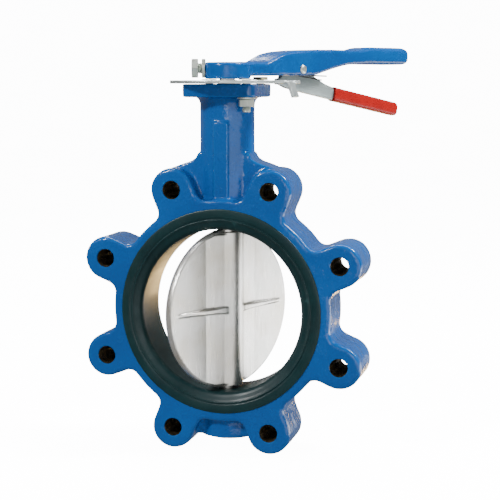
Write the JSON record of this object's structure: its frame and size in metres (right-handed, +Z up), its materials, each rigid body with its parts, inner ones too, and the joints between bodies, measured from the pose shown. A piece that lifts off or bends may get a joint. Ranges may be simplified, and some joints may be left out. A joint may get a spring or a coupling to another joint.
{
  "type": "lugged butterfly valve",
  "caption": "Lugged butterfly valve with a rubber-lined bore, a pivoting stainless disc, a tall neck and a latching hand lever over a notched plate.",
  "frame": {"origin": "centre of the bore, on the stem's axis", "axes": "+Z up along the stem towards the lever, +Y along the pipe away from the upstream face, +X to the right seen from upstream"},
  "size_m": [0.2645, 0.2852, 0.3747],
  "materials": {
    "cast_iron_blue": "glossy",
    "epdm_rubber": "satin",
    "disc_stainless": "satin",
    "stem_stainless": "satin",
    "bush_bronze": "satin",
    "seal_rubber": "satin",
    "zinc_plate": "satin",
    "zinc_fastener": "satin",
    "yellow_zinc": "satin",
    "trigger_steel": "satin",
    "red_pvc": "satin",
    "spring_steel": "satin"
  },
  "bodies": {
    "body": {"valve_body": "cast_iron_blue", "seat_liner": "epdm_rubber", "upper_bush": "bush_bronze", "middle_bush": "bush_bronze", "lower_bush": "bush_bronze", "upper_stem_o_ring": "seal_rubber", "middle_stem_o_ring": "seal_rubber", "lower_stem_o_ring": "seal_rubber", "bottom_plug": "zinc_fastener", "plug_o_ring": "seal_rubber", "notch_plate": "zinc_plate", "plate_bolt_front": "zinc_fastener", "plate_bolt_rear": "zinc_fastener", "plate_washer_front": "zinc_fastener", "plate_washer_rear": "zinc_fastener", "plate_nut_front": "zinc_fastener", "plate_nut_rear": "zinc_fastener", "stop_screw": "yellow_zinc"},
    "stem": {"disc": "disc_stainless", "upper_stem": "stem_stainless", "lower_stem": "stem_stainless", "retaining_ring": "spring_steel", "lever_handle": "cast_iron_blue", "clamp_screw": "zinc_fastener", "clamp_lock_nut": "zinc_fastener", "trigger_pin": "zinc_fastener"},
    "trigger": {"trigger_lever": "trigger_steel", "trigger_sleeve": "red_pvc", "trigger_spring": "spring_steel"}
  },
  "joints": [
    {"name": "stem_turn", "type": "hinge", "parent": "body", "child": "stem", "pos_m": [0, 0, 0], "axis": [0, 0, 1], "range_deg": [-60, 30]},
    {"name": "trigger_squeeze", "type": "hinge", "parent": "stem", "child": "trigger", "pos_m": [0.04165, 0.07214, 0.2207], "axis": [0.866, -0.5, 0], "range_deg": [0, 14], "stiffness_Nm_per_rad": 1.2, "springref_deg": -20.05}
  ]
}
